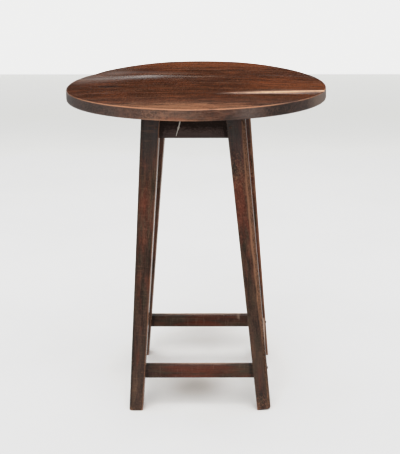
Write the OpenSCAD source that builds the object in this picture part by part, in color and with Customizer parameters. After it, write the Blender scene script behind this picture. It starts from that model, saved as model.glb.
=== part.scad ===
// Round side table on four tapered legs that splay both ways, held by rails under
// the top and by low stretchers. Every joint is a mortise and tenon locked by pegs.
// Front is -Y, right is +X, and the floor is Z = 0 under the middle of the top.

/* [Top] */
// Height of the upper face above the floor
table_height = 700; // [620:5:780]
// Diameter of the round top
top_diameter = 554; // [500:2:640]
// Thickness of the boards
top_thickness = 23; // [18:0.5:32]
// Radius worn on the upper edge of the rim
rim_round_upper = 4; // [1:0.5:7]
// Radius worn on the lower edge of the rim
rim_round_lower = 2.5; // [1:0.5:6]
// Joint between the front and middle boards, in front of the centre line
front_joint = 106; // [70:2:140]
// Joint between the middle and back boards, behind the centre line
back_joint = 94; // [70:2:140]

/* [Dowels between the boards] */
// Diameter of a dowel
dowel_diameter = 9; // [6:0.5:11]
// Depth of a dowel in each board
dowel_depth = 26; // [16:1:40]
// Distance from one dowel to the next along a joint
dowel_spacing = 165; // [90:5:185]

/* [Legs] */
// Width at the top end of a leg, square in section
leg_width_top = 39.5; // [36:0.5:48]
// Width at the foot of a leg
leg_width_foot = 29.5; // [26:0.5:34]
// Flat worn along each leg's outer corner, measured on either face
leg_corner_flat = 4; // [1:0.5:8]

/* [Stance, from the centre line to a leg's outer face] */
// Front and back faces under the top
depth_top = 109.5; // [95:0.5:125]
// Front and back faces at the floor
depth_foot = 158.5; // [140:0.5:180]
// Front left leg's side face under the top
front_left_top = 109; // [95:0.5:125]
// Front left leg's side face at the floor
front_left_foot = 153; // [140:0.5:180]
// Front right leg's side face under the top
front_right_top = 101; // [95:0.5:125]
// Front right leg's side face at the floor
front_right_foot = 159; // [140:0.5:180]
// Back left leg's side face under the top
back_left_top = 107; // [95:0.5:125]
// Back left leg's side face at the floor
back_left_foot = 165; // [140:0.5:180]
// Back right leg's side face under the top
back_right_top = 110; // [95:0.5:125]
// Back right leg's side face at the floor
back_right_foot = 158; // [140:0.5:180]

/* [Rails] */
// Height of a rail
rail_height = 73; // [60:1:100]
// Thickness of a rail
rail_thickness = 20; // [16:0.5:22]
// Set-back of a rail's upper edge from the legs' outer faces
rail_set_back = 1.5; // [0.5:0.5:3]
// Thickness of a rail's tenon
rail_tenon = 9; // [6:0.5:10]
// Shoulder above and below a rail's tenon
rail_shoulder = 8; // [5:0.5:14]

/* [Stretchers] */
// Height of the stretchers' underside above the floor
stretcher_lift = 75.5; // [50:0.5:180]
// Height of a stretcher
stretcher_height = 28; // [22:0.5:40]
// Thickness of a stretcher
stretcher_thickness = 17; // [13:0.5:18]
// Set-back of a stretcher's upper edge from the legs' outer faces
stretcher_set_back = 2; // [0.5:0.5:3]
// Thickness of a stretcher's tenon
stretcher_tenon = 7; // [5:0.5:8]
// Shoulder above and below a stretcher's tenon
stretcher_shoulder = 4; // [2:0.5:6]

/* [Pegs] */
// Diameter of the pegs through the rails' tenons
rail_peg = 6.5; // [4:0.5:8]
// Distance between the two pegs of one rail joint
rail_peg_spacing = 27; // [20:1:32]
// Diameter of the pegs through the stretchers' tenons
stretcher_peg = 5.5; // [4:0.5:7]
// Length of a peg that stands proud of the leg
peg_proud = 1.5; // [0.5:0.25:3]
// Length of a peg driven in past the tenon
peg_past = 3; // [1:0.5:4]

/* [Blocks under the top] */
// Length of a glue block
block_length = 60; // [30:5:90]
// Width and height of a glue block
block_size = 18; // [12:1:26]

/* [Fits] */
// Clearance on each face of a tenon, dowel or peg
joint_clearance = 0.15; // [0.05:0.05:0.3]
// Space left beyond the end of a tenon, dowel or peg
end_space = 1; // [0.5:0.25:2]
// Wood left between two tenons that cross in one leg
tenon_gap = 2; // [1:0.5:3]

/* [Hidden] */

LEFT = -1;
RIGHT = 1;
FRONT = -1;
BACK = 1;
SIDES = [LEFT, RIGHT];
ENDS = [FRONT, BACK];
round_facets = 96;

top_radius = top_diameter / 2;
underside = table_height - top_thickness;
steepest_splay = max(
    depth_foot - depth_top,
    front_left_foot - front_left_top,
    front_right_foot - front_right_top,
    back_left_foot - back_left_top,
    back_right_foot - back_right_top
) / underside;

TOP_WOOD = [0.42, 0.25, 0.16];
LEG_WOOD = [0.30, 0.20, 0.15];
RAIL_WOOD = [0.25, 0.18, 0.15];
STRETCHER_WOOD = [0.31, 0.21, 0.16];
PEG_WOOD = [0.22, 0.15, 0.11];

// A bar is a rail or a stretcher: its underside, top edge, thickness, set-back,
// tenon thickness, shoulder, peg diameter and the heights of its pegs.
rail_middle = underside - rail_height / 2;
RAIL = [
    underside - rail_height, underside, rail_thickness, rail_set_back, rail_tenon, rail_shoulder,
    rail_peg, [rail_middle - rail_peg_spacing / 2, rail_middle + rail_peg_spacing / 2]
];
STRETCHER = [
    stretcher_lift, stretcher_lift + stretcher_height, stretcher_thickness, stretcher_set_back,
    stretcher_tenon, stretcher_shoulder, stretcher_peg, [stretcher_lift + stretcher_height / 2]
];

function low(bar) = bar[0];
function high(bar) = bar[1];
function thickness(bar) = bar[2];
function set_back(bar) = bar[3];
function tenon(bar) = bar[4];
function shoulder(bar) = bar[5];
function peg_diameter(bar) = bar[6];
function peg_heights(bar) = bar[7];

// Where the legs are at a height above the floor
function between(foot, top, z) = foot + (top - foot) * z / underside;
function leg_width(z) = between(leg_width_foot, leg_width_top, z);
function outer_y(z) = between(depth_foot, depth_top, z);
function inner_y(z) = outer_y(z) - leg_width(z);
function outer_x(side, end, z) =
    side == LEFT && end == FRONT ? between(front_left_foot, front_left_top, z) :
    side == RIGHT && end == FRONT ? between(front_right_foot, front_right_top, z) :
    side == LEFT ? between(back_left_foot, back_left_top, z) :
    between(back_right_foot, back_right_top, z);
function inner_x(side, end, z) = outer_x(side, end, z) - leg_width(z);

// Where a bar's outer face is: front and back bars run square to the legs' front
// faces, and a side bar runs from the front leg to the back leg.
function face_y(bar) = outer_y(high(bar)) - set_back(bar);
function face_x(side, bar, y) =
    let (
        span = outer_y(high(bar)),
        front = outer_x(side, FRONT, high(bar)) - set_back(bar),
        back = outer_x(side, BACK, high(bar)) - set_back(bar)
    )
    front + (back - front) * (y + span) / (2 * span);

// Distance from a bar's outer face to the far side of its tenon
function tenon_far(bar) = (thickness(bar) + tenon(bar)) / 2;

// A tenon stops short of the one that crosses it inside the leg
function tenon_length(bar) =
    leg_width(low(bar)) - set_back(bar) - steepest_splay * (high(bar) - low(bar)) - tenon_far(bar) - tenon_gap;

// Prism with an outline drawn in X and Z, between two values of Y
module front_prism(outline, y0, y1) {
    translate([0, y1, 0])
        rotate([90, 0, 0])
            linear_extrude(y1 - y0)
                polygon(outline);
}

// Prism with an outline drawn in Y and Z, between two values of X
module side_prism(outline, x0, x1) {
    translate([x0, 0, 0])
        rotate([90, 0, 90])
            linear_extrude(x1 - x0)
                polygon(outline);
}

// Round pin between two depths along X or Y, measured outward from the centre
module pin_y(x, z, end, from, to, diameter) {
    translate([x, end * from, z])
        rotate([-90 * end, 0, 0])
            cylinder(d = diameter, h = to - from, $fn = round_facets);
}

module pin_x(y, z, side, from, to, diameter) {
    translate([side * from, y, z])
        rotate([0, 90 * side, 0])
            cylinder(d = diameter, h = to - from, $fn = round_facets);
}

// Front or back bar: its body, or its tenons with room round them
module cross_body(end, bar) {
    z0 = low(bar);
    z1 = high(bar);
    y0 = end == FRONT ? -face_y(bar) : face_y(bar) - thickness(bar);
    front_prism([
        [-inner_x(LEFT, end, z0), z0], [inner_x(RIGHT, end, z0), z0],
        [inner_x(RIGHT, end, z1), z1], [-inner_x(LEFT, end, z1), z1]
    ], y0, y0 + thickness(bar));
}

module cross_tenons(end, bar, room = 0, beyond = 0) {
    z0 = low(bar) + shoulder(bar) - room;
    z1 = high(bar) - shoulder(bar) + room;
    reach = tenon_length(bar) + beyond;
    y0 = (end == FRONT ? -face_y(bar) : face_y(bar) - thickness(bar)) + (thickness(bar) - tenon(bar)) / 2 - room;
    front_prism([
        [-inner_x(LEFT, end, z0) - reach, z0], [inner_x(RIGHT, end, z0) + reach, z0],
        [inner_x(RIGHT, end, z1) + reach, z1], [-inner_x(LEFT, end, z1) - reach, z1]
    ], y0, y0 + tenon(bar) + 2 * room);
}

module cross_pegs(end, bar, diameter, beyond = 0) {
    for (side = SIDES, z = peg_heights(bar))
        pin_y(
            side * (inner_x(side, end, z) + tenon_length(bar) / 2), z, end,
            face_y(bar) - tenon_far(bar) - peg_past - beyond, outer_y(z) + peg_proud, diameter
        );
}

module cross_bar(end, bar) {
    difference() {
        union() {
            cross_body(end, bar);
            cross_tenons(end, bar);
        }
        cross_pegs(end, bar, peg_diameter(bar) + 2 * joint_clearance, end_space);
    }
}

// Upright slab along a side bar's outer face, from one depth behind it to another
module side_slab(side, bar, near, far, half_length, z0, z1) {
    span = outer_y(high(bar));
    turn = atan2(side * (face_x(side, bar, span) - face_x(side, bar, -span)), 2 * span);
    translate([side * face_x(side, bar, 0), 0, z0])
        rotate([0, 0, -turn])
            translate([side == RIGHT ? -far : near, -half_length, 0])
                cube([far - near, 2 * half_length, z1 - z0]);
}

// Side bar: its body, or its tenons with room round them
module side_piece(side, bar, near, far, z0, z1, reach) {
    intersection() {
        side_slab(side, bar, near, far, depth_foot + top_radius, z0, z1);
        side_prism([
            [-inner_y(z0) - reach, z0], [inner_y(z0) + reach, z0],
            [inner_y(z1) + reach, z1], [-inner_y(z1) - reach, z1]
        ], -top_radius, top_radius);
    }
}

module side_body(side, bar) {
    side_piece(side, bar, 0, thickness(bar), low(bar), high(bar), 0);
}

module side_tenons(side, bar, room = 0, beyond = 0) {
    side_piece(
        side, bar, tenon_far(bar) - tenon(bar) - room, tenon_far(bar) + room,
        low(bar) + shoulder(bar) - room, high(bar) - shoulder(bar) + room, tenon_length(bar) + beyond
    );
}

module side_pegs(side, bar, diameter, beyond = 0) {
    for (end = ENDS, z = peg_heights(bar)) {
        y = end * (inner_y(z) + tenon_length(bar) / 2);
        pin_x(
            y, z, side,
            face_x(side, bar, y) - tenon_far(bar) - peg_past - beyond, outer_x(side, end, z) + peg_proud, diameter
        );
    }
}

module side_bar(side, bar) {
    difference() {
        union() {
            side_body(side, bar);
            side_tenons(side, bar);
        }
        side_pegs(side, bar, peg_diameter(bar) + 2 * joint_clearance, end_space);
    }
}

// Half space beyond the flat on a leg's outer corner
module outside_corner(side, end) {
    splay = (outer_x(side, end, 0) - outer_x(side, end, underside) + depth_foot - depth_top) / sqrt(2);
    translate([side * outer_x(side, end, 0), end * depth_foot, 0])
        rotate([0, 0, atan2(end, side)])
            translate([-leg_corner_flat / sqrt(2), 0, 0])
                rotate([0, -atan2(splay, underside), 0])
                    translate([0, -top_radius, -top_radius])
                        cube([top_radius, 2 * top_radius, table_height + 2 * top_radius]);
}

module leg(side, end) {
    foot_x = [outer_x(side, end, 0) - leg_width_foot, outer_x(side, end, 0)] * side;
    top_x = [outer_x(side, end, underside) - leg_width_top, outer_x(side, end, underside)] * side;
    foot_y = [depth_foot - leg_width_foot, depth_foot] * end;
    top_y = [depth_top - leg_width_top, depth_top] * end;
    difference() {
        intersection() {
            front_prism([[foot_x[0], 0], [foot_x[1], 0], [top_x[1], underside], [top_x[0], underside]],
                -top_radius, top_radius);
            side_prism([[foot_y[0], 0], [foot_y[1], 0], [top_y[1], underside], [top_y[0], underside]],
                -top_radius, top_radius);
        }
        outside_corner(side, end);
        for (bar = [RAIL, STRETCHER]) {
            cross_tenons(end, bar, joint_clearance, end_space);
            side_tenons(side, bar, joint_clearance, end_space);
            cross_pegs(end, bar, peg_diameter(bar) + 2 * joint_clearance, end_space);
            side_pegs(side, bar, peg_diameter(bar) + 2 * joint_clearance, end_space);
        }
    }
}

// Disc with its worn rim, standing on the underside plane
module round_top() {
    translate([0, 0, underside])
        rotate_extrude($fn = 2 * round_facets) {
            square([top_radius - rim_round_upper, top_thickness]);
            square([top_radius - rim_round_lower, top_thickness / 2]);
            translate([0, rim_round_lower])
                square([top_radius, top_thickness - rim_round_upper - rim_round_lower]);
            translate([top_radius - rim_round_upper, top_thickness - rim_round_upper])
                circle(rim_round_upper, $fn = round_facets);
            translate([top_radius - rim_round_lower, rim_round_lower])
                circle(rim_round_lower, $fn = round_facets);
        }
}

module dowels(diameter, beyond = 0) {
    for (joint = [-front_joint, back_joint], step = [-1, 0, 1])
        translate([step * dowel_spacing, joint - dowel_depth - beyond, underside + top_thickness / 2])
            rotate([-90, 0, 0])
                cylinder(d = diameter, h = 2 * (dowel_depth + beyond), $fn = round_facets);
}

// The part of the top between two values of Y, bored for the dowels
module board(y0, y1) {
    difference() {
        intersection() {
            round_top();
            translate([-top_diameter, y0, 0])
                cube([2 * top_diameter, y1 - y0, table_height + top_thickness]);
        }
        dowels(dowel_diameter + 2 * joint_clearance, end_space);
    }
}

module top_board_front() { color(TOP_WOOD) board(-top_diameter, -front_joint); }
module top_board_middle() { color(TOP_WOOD) board(-front_joint, back_joint); }
module top_board_back() { color(TOP_WOOD) board(back_joint, top_diameter); }
module board_dowels() { color(PEG_WOOD) dowels(dowel_diameter); }

module leg_front_left() { color(LEG_WOOD) leg(LEFT, FRONT); }
module leg_front_right() { color(LEG_WOOD) leg(RIGHT, FRONT); }
module leg_back_left() { color(LEG_WOOD) leg(LEFT, BACK); }
module leg_back_right() { color(LEG_WOOD) leg(RIGHT, BACK); }

module rail_front() { color(RAIL_WOOD) cross_bar(FRONT, RAIL); }
module rail_back() { color(RAIL_WOOD) cross_bar(BACK, RAIL); }
module rail_left() { color(RAIL_WOOD) side_bar(LEFT, RAIL); }
module rail_right() { color(RAIL_WOOD) side_bar(RIGHT, RAIL); }

module stretcher_front() { color(STRETCHER_WOOD) cross_bar(FRONT, STRETCHER); }
module stretcher_back() { color(STRETCHER_WOOD) cross_bar(BACK, STRETCHER); }
module stretcher_left() { color(STRETCHER_WOOD) side_bar(LEFT, STRETCHER); }
module stretcher_right() { color(STRETCHER_WOOD) side_bar(RIGHT, STRETCHER); }

module all_pegs(bar) {
    for (end = ENDS)
        cross_pegs(end, bar, peg_diameter(bar));
    for (side = SIDES)
        side_pegs(side, bar, peg_diameter(bar));
}

module rail_pegs() { color(PEG_WOOD) all_pegs(RAIL); }
module stretcher_pegs() { color(PEG_WOOD) all_pegs(STRETCHER); }

// Glue blocks in the angle between each rail and the top
module top_blocks() {
    color(RAIL_WOOD) {
        for (end = ENDS)
            translate([0, end * (face_y(RAIL) - rail_thickness - block_size / 2), underside - block_size / 2])
                cube([block_length, block_size, block_size], center = true);
        for (side = SIDES)
            side_slab(side, RAIL, rail_thickness, rail_thickness + block_size, block_length / 2,
                underside - block_size, underside);
    }
}

top_board_front();
top_board_middle();
top_board_back();
board_dowels();
leg_front_left();
leg_front_right();
leg_back_left();
leg_back_right();
rail_front();
rail_back();
rail_left();
rail_right();
stretcher_front();
stretcher_back();
stretcher_left();
stretcher_right();
rail_pegs();
stretcher_pegs();
top_blocks();
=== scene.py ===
"""Round side table in dark, waxed old oak: a plank top on four splayed legs.

Front is -Y, right is +X and the floor is Z = 0. Every piece is built where its solid
stands, in metres, then worn as the old table is worn.
"""

import logging
import math
from collections.abc import Callable, Iterable, Mapping, Sequence
from dataclasses import dataclass
from enum import Enum
from itertools import product

import bmesh
import bpy
from mathutils import Matrix, Vector, noise


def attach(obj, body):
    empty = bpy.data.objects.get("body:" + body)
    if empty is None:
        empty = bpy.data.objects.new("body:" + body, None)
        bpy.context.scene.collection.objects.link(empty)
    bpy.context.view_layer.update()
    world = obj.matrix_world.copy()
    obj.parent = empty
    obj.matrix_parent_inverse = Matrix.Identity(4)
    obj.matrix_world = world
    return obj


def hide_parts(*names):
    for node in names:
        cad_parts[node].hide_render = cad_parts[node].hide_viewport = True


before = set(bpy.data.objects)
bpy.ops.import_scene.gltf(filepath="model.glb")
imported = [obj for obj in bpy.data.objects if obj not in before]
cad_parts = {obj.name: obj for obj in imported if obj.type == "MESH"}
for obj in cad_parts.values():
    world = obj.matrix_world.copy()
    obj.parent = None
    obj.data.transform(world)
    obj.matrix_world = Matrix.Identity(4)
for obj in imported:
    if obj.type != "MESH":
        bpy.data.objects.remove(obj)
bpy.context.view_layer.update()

log = logging.getLogger("round_table")

Colour = tuple[float, float, float, float]
Span = tuple[float, float]
Amount = Callable[[Vector, Vector], float]
Shift = Callable[[Vector, Vector], Vector]
Level = Callable[[float], float]


class Side(Enum):
    """The left or right half of the table; the value is the sign of X."""

    LEFT = -1
    RIGHT = 1


class End(Enum):
    """The front or back half of the table; the value is the sign of Y."""

    FRONT = -1
    BACK = 1


class Way(Enum):
    """The way that the grain of a level piece runs."""

    ACROSS = (1.0, 0.0, 0.0)
    DEEP = (0.0, 1.0, 0.0)

    @property
    def line(self) -> Vector:
        """The way as a direction."""
        return Vector(self.value)


def linear(part: int) -> float:
    """Turns one part of a screen's colour, from 0 to 255, into linear light."""
    part = part / 255
    return part / 12.92 if part <= 0.04045 else ((part + 0.055) / 1.055) ** 2.4


def shade(red: int, green: int, blue: int) -> Colour:
    """Turns a colour as it is seen on a screen into the light that it stands for."""
    return (linear(red), linear(green), linear(blue), 1.0)


def blend(low: float, high: float, value: float) -> float:
    """Rises smoothly from 0 where the value is low to 1 where it is high."""
    t = min(1.0, max(0.0, (value - low) / (high - low)))
    return t * t * (3 - 2 * t)


def near(distance: float, reach: float) -> float:
    """Falls from 1 on a line to almost nothing at twice the reach from it."""
    return math.exp(-((distance / reach) ** 2))


def facing_up(normal: Vector) -> float:
    """How far a face looks up, from 0 to 1."""
    return max(0.0, normal.z)


def facing_right(normal: Vector) -> float:
    """How far a face looks to the right, from 0 to 1."""
    return max(0.0, normal.x)


def steep(normal: Vector) -> float:
    """How steep a face is, from 0 on a level face to 1 on an upright one."""
    return 1 - abs(normal.z)


# Finishes


class Tone:
    """A number, colour or direction on its way through the nodes of one finish."""

    def __init__(self, recipe: "Recipe", socket: bpy.types.NodeSocket) -> None:
        """Keeps the recipe that the socket belongs to."""
        self.recipe = recipe
        self.socket = socket

    def _math(self, operation: str, left: "Term", right: "Term") -> "Tone":
        """Adds a Math node for numbers, or a Vector Math node for colours and directions."""
        kind = "ShaderNodeMath" if self.socket.type == "VALUE" else "ShaderNodeVectorMath"
        return self.recipe.node(kind, {"operation": operation}, {0: left, 1: right})

    def __add__(self, other: "Term") -> "Tone":
        """Adds a value."""
        return self._math("ADD", self, other)

    def __radd__(self, other: "Term") -> "Tone":
        """Is added to a plain value."""
        return self._math("ADD", other, self)

    def __sub__(self, other: "Term") -> "Tone":
        """Takes a value away."""
        return self._math("SUBTRACT", self, other)

    def __rsub__(self, other: "Term") -> "Tone":
        """Is taken away from a plain value."""
        return self._math("SUBTRACT", other, self)

    def __mul__(self, other: "Term") -> "Tone":
        """Multiplies by a value."""
        return self._math("MULTIPLY", self, other)

    def __rmul__(self, other: "Term") -> "Tone":
        """Multiplies a plain value."""
        return self._math("MULTIPLY", other, self)

    def rise(self, low: float, high: float) -> "Tone":
        """Turns the value into a mask that rises smoothly from 0 at low to 1 at high."""
        values = {"Value": self, "From Min": low, "From Max": high}
        return self.recipe.node("ShaderNodeMapRange", {"interpolation_type": "SMOOTHSTEP"}, values)


Term = Tone | float | Sequence[float]


class Recipe:
    """The nodes of one finish, added through one method."""

    def __init__(self, owner: bpy.types.Material | bpy.types.World) -> None:
        """Starts with no nodes.

        Args:
            owner: The material or the world that the nodes belong to.
        """
        owner.use_nodes = True
        self.tree = owner.node_tree
        self.tree.nodes.clear()

    def node(
        self,
        kind: str,
        settings: Mapping[str, object] | None = None,
        inputs: Mapping[int | str, Term] | None = None,
        output: int | str = 0,
    ) -> Tone:
        """Adds a node, sets it up, then gives its sockets their values or links.

        Args:
            kind: The node's type.
            settings: Properties of the node, set before its sockets.
            inputs: Values or links, by socket name or place.
            output: The output that is wanted.

        Returns:
            The output.
        """
        made = self.tree.nodes.new(kind)
        for name, value in (settings or {}).items():
            setattr(made, name, value)
        for key, value in (inputs or {}).items():
            if isinstance(value, Tone):
                self.tree.links.new(value.socket, made.inputs[key])
            else:
                made.inputs[key].default_value = value
        return Tone(self, made.outputs[output])

    def layer(self, name: str) -> Tone:
        """Reads an amount that was painted on the piece's points."""
        settings = {"attribute_type": "GEOMETRY", "attribute_name": name}
        return self.node("ShaderNodeAttribute", settings, output="Fac")

    def noise(
        self, where: Tone, detail: float, sharp: float = 0.5, scale: float = 1.0, output: str = "Fac"
    ) -> Tone:
        """Adds noise, about 0.5 in the middle.

        Args:
            where: The place that it is read at.
            detail: Octaves of finer noise.
            sharp: How strong the finer octaves are.
            scale: How often it changes in a metre of the place.
            output: The output that is wanted.

        Returns:
            The noise.
        """
        values = {"Vector": where, "Scale": scale, "Detail": detail, "Roughness": sharp}
        return self.node("ShaderNodeTexNoise", {}, values, output)

    def mix(self, under: Tone | Colour, over: Tone | Colour, amount: Tone | float) -> Tone:
        """Lays one colour over another, so that the amount of it covers."""
        settings = {"data_type": "RGBA", "clamp_factor": True}
        return self.node("ShaderNodeMix", settings, {0: amount, 6: under, 7: over}, output=2)

    def parts(self, vector: Tone) -> list[Tone]:
        """Takes a direction or a place apart into its three numbers."""
        first = self.node("ShaderNodeSeparateXYZ", {}, {0: vector})
        return [Tone(self, socket) for socket in first.socket.node.outputs]

    def close(self, shader: Tone, kind: str = "ShaderNodeOutputMaterial") -> None:
        """Sends the finished shader to the output."""
        output = self.tree.nodes.new(kind)
        self.tree.links.new(shader.socket, output.inputs["Surface"])

    def surface(self, values: Mapping[int | str, Term]) -> None:
        """Ends the recipe with a surface that has these values."""
        self.close(self.node("ShaderNodeBsdfPrincipled", {}, values))


@dataclass(frozen=True)
class OakFinish:
    """Stained, waxed oak: its colours, how even it is, and how it shines."""

    dark: Colour
    middle: Colour
    light: Colour
    warm: Colour
    worn: Colour
    grime: Colour
    dust: Colour
    cool: Colour = shade(50, 43, 32)
    # pale raw wood, also used for painted sheen and highlights
    bare: Colour = shade(214, 178, 152)
    figure: float = 1.0
    banded: float = 1.0
    mottled: float = 1.0
    fibre: float = 0.35
    rays: float = 0.0
    roughness: float = 0.34
    specular: float = 0.2
    relief: float = 0.0001
    uneven: float = 1.0
    ring_gap: float = 0.0034

    def material(self, name: str, fibre_way: Vector, heart: Vector, seed: float) -> bpy.types.Material:
        """Makes the finish for one piece.

        Args:
            name: Name of the material.
            fibre_way: The way that the fibres of the piece run.
            heart: A point on the heart of the tree that the piece was sawn from.
            seed: Moves the pattern along the fibres, so that no two pieces are alike.

        Returns:
            The material.
        """
        material = bpy.data.materials.new(name)
        recipe = Recipe(material)
        turn = fibre_way.rotation_difference(Vector((1, 0, 0))).to_matrix()
        shift = Vector((seed * 3.1, 0, 0)) - turn @ heart
        place = recipe.node("ShaderNodeTexCoord", output="Object")
        turned = {"Vector": place, "Rotation": turn.to_euler(), "Location": shift}
        place = recipe.node("ShaderNodeMapping", {"vector_type": "POINT"}, turned)

        def grain(along: float, across: float, detail: float, sharp: float = 0.55) -> Tone:
            """Noise that changes so often along and across the fibres."""
            return recipe.noise(place * (along, across, across), detail, sharp)

        bend = recipe.noise(place * (3.5, 9.0, 9.0), 2.0, 0.55, output="Color") - (0.5, 0.5, 0.5)
        bent = place + bend * (0, 0.03, 0.03)
        radius = recipe.node("ShaderNodeVectorMath", {"operation": "LENGTH"}, {0: bent * (0, 1, 1)}, "Value")
        spot = recipe.node("ShaderNodeCombineXYZ", {}, {0: recipe.parts(place)[0] * 4.0, 1: radius * 75.0})
        years = recipe.noise(spot, 4.0, 0.6)
        year = {0: radius * (1 / self.ring_gap) + years * 3.0}
        late = recipe.node("ShaderNodeMath", {"operation": "FRACT"}, year).rise(0.3, 0.95)
        streaks = grain(7.0, 210.0, 3.0)
        bands = grain(13.0, 66.0, 3.0, 0.6)
        hues = grain(15.0, 74.0, 3.0, 0.65)
        fibres = grain(24.0, 900.0, 3.0, 0.65)
        pores = (grain(60.0, 1700.0, 1.0) - late * 0.06).rise(0.57, 0.70)
        clouds = grain(8.0, 18.0, 3.0, 0.6)
        blots = grain(28.0, 60.0, 4.0, 0.65)
        specks = grain(240.0, 420.0, 2.0, 0.6)
        rays = (grain(300.0, 60.0, 2.0, 0.65) - 0.5) * self.rays
        scuffs = grain(420.0, 30.0, 2.0, 0.6).rise(0.58, 0.74)
        # Painted layers: the darkening one holds painted shade besides soiling, and the worn, greying and
        # pale ones also hold painted sheen, highlights and reflections.
        painted = ("wear", "warmth", "grime", "chips", "dry", "dust", "bare")
        wear, warmth, soot_and_shade, chips, dry, dust, bare = (recipe.layer(layer) for layer in painted)
        knocks = (grain(100.0, 140.0, 2.0, 0.6) - 0.5) * chips * 4.0

        tone = (years - 0.5) * (1.7 * self.figure) + (streaks - 0.5) * 1.2 + (0.62 - late * 0.16)
        tone = tone + (bands - 0.5) * (1.6 * self.banded)
        colour = recipe.mix(self.dark, self.middle, tone.rise(0.15, 0.55))
        colour = recipe.mix(colour, self.light, tone.rise(0.55, 1.0))
        redder = (hues - 0.5) * (1.6 * self.mottled) + clouds * 0.6 + warmth + rays * 0.6
        colour = recipe.mix(colour, self.warm, redder.rise(0.2, 0.95) * 0.85)
        greyer = (0.5 - hues) * (1.5 * self.mottled)
        colour = recipe.mix(colour, self.cool, greyer.rise(0.03, 0.4) * 0.6)
        tint = (fibres - 0.5) * (2.0 * self.fibre) + (blots - 0.5) * (0.9 * self.figure)
        tint = tint + (specks - 0.5) * self.mottled + rays + knocks + 1.0
        colour = recipe.node("ShaderNodeVectorMath", {"operation": "SCALE"}, {0: colour, "Scale": tint})
        colour = recipe.mix(colour, self.grime, pores * 0.5)
        colour = recipe.mix(colour, self.dust, dust * (blots * 0.9 + streaks * 0.5))
        rubbed = (wear * 0.95 + blots * 0.9 - 0.45).rise(0.30, 0.9)
        colour = recipe.mix(colour, self.worn, rubbed * 0.8 + scuffs * 0.16)
        flecks = (chips * 0.9 + specks * 0.9 + blots * 0.3 - 0.6).rise(0.35, 0.75)
        colour = recipe.mix(colour, self.worn, flecks * 0.75)
        # soiling together with painted shade, mixed towards the near-black colour
        dirt_and_shade = (soot_and_shade * (specks * 3.0 - 0.35) + (blots - 0.5) * 0.6).rise(0.12, 0.95)
        colour = recipe.mix(colour, self.grime, dirt_and_shade * 0.92)
        colour = recipe.mix(colour, self.bare, bare * (streaks * 0.8 + specks * 0.8 + 0.2))

        dull = ((clouds - 0.5) * 0.12 + dirt_and_shade * 0.12) * self.uneven + (streaks - 0.5) * 0.1 + dry * 0.45
        height = fibres * 0.3 + streaks * 0.5 - pores * 0.8 + (blots * 1.5) * self.uneven - late * 0.2
        bump = {"Strength": 0.5, "Distance": self.relief, "Height": height}
        recipe.surface(
            {
                "Base Color": colour,
                "Roughness": dull + self.roughness,
                "Specular IOR Level": self.specular,
                "Normal": recipe.node("ShaderNodeBump", {}, bump),
            }
        )
        return material


@dataclass(frozen=True)
class DripFinish:
    """Dried drip of pale size or paint, dulled by dust."""

    pale: Colour = shade(196, 190, 180)
    dusty: Colour = shade(140, 128, 114)
    often: float = 420.0
    relief: float = 0.0004

    def material(self, name: str) -> bpy.types.Material:
        """Makes the finish.

        Args:
            name: Name of the material.

        Returns:
            The material.
        """
        material = bpy.data.materials.new(name)
        recipe = Recipe(material)
        dust = recipe.noise(recipe.node("ShaderNodeTexCoord", output="Object"), 3.0, scale=self.often)
        colour = recipe.mix(self.pale, self.dusty, dust.rise(0.35, 0.7))
        normal = recipe.node("ShaderNodeBump", {}, {"Strength": 0.4, "Distance": self.relief, "Height": dust})
        recipe.surface({"Base Color": colour, "Roughness": (dust - 0.5) * 0.3 + 0.5, "Normal": normal})
        return material


# Bench


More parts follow.
